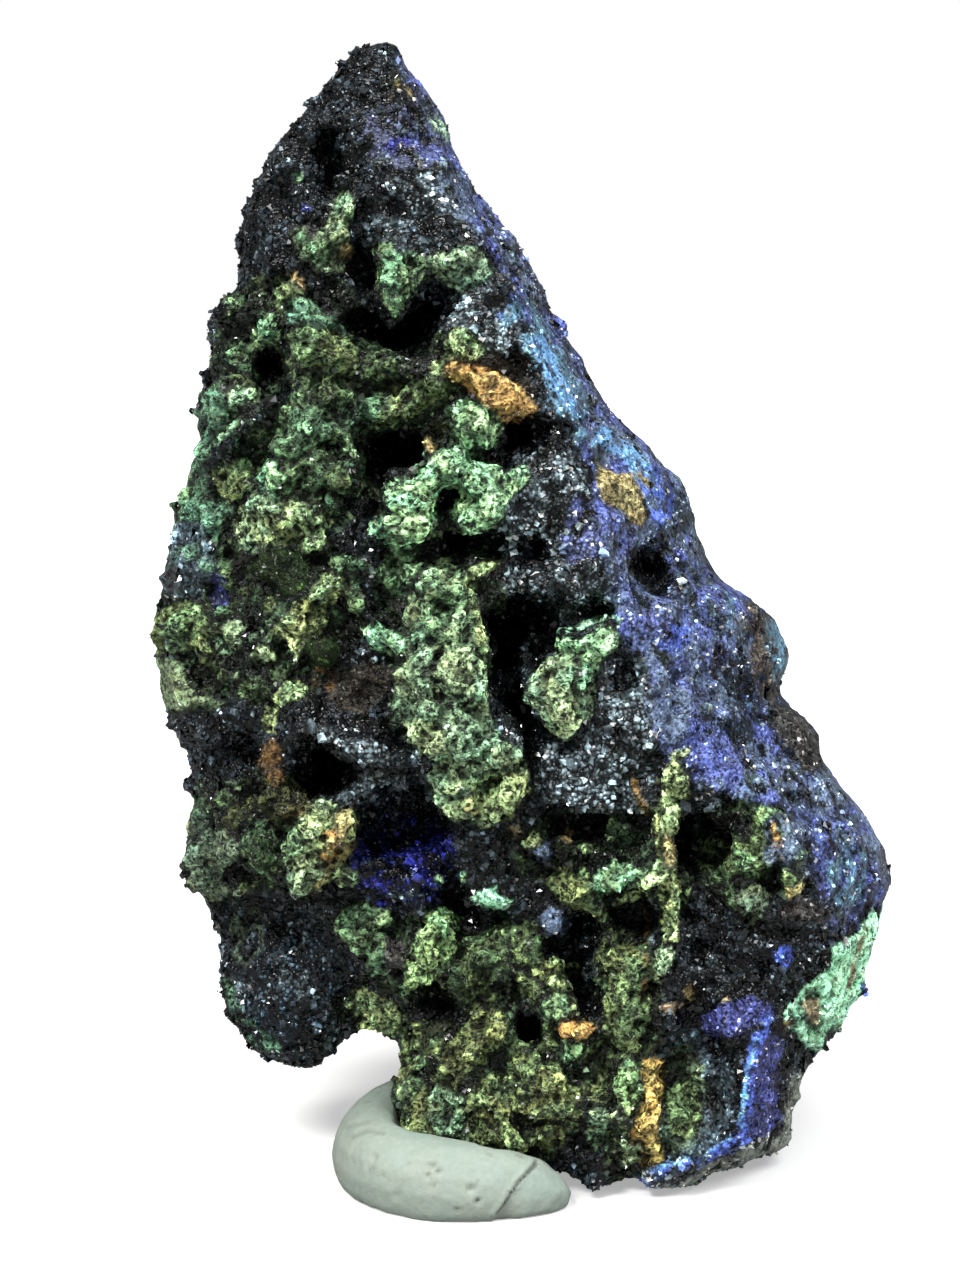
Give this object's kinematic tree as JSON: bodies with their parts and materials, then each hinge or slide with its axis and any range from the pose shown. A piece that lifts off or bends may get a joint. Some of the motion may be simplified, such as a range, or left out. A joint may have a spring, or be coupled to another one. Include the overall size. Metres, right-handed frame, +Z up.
{
  "type": "azurite specimen",
  "caption": "Azurite and malachite mineral specimen with a vuggy crusted front and a blue druse flank, standing upright in a pressed ring of mineral putty.",
  "frame": {"origin": "centre of the whole in plan, on the surface that it stands on", "axes": "+Z is up along the specimen's longest extent, -Y is the vuggy display face, +X is the viewer's right"},
  "size_m": [0.071, 0.0442, 0.1056],
  "materials": {
    "azurite": "satin",
    "putty": "matte"
  },
  "bodies": {
    "root": {"azurite_stone": "azurite", "putty_ring": "putty"}
  },
  "joints": []
}
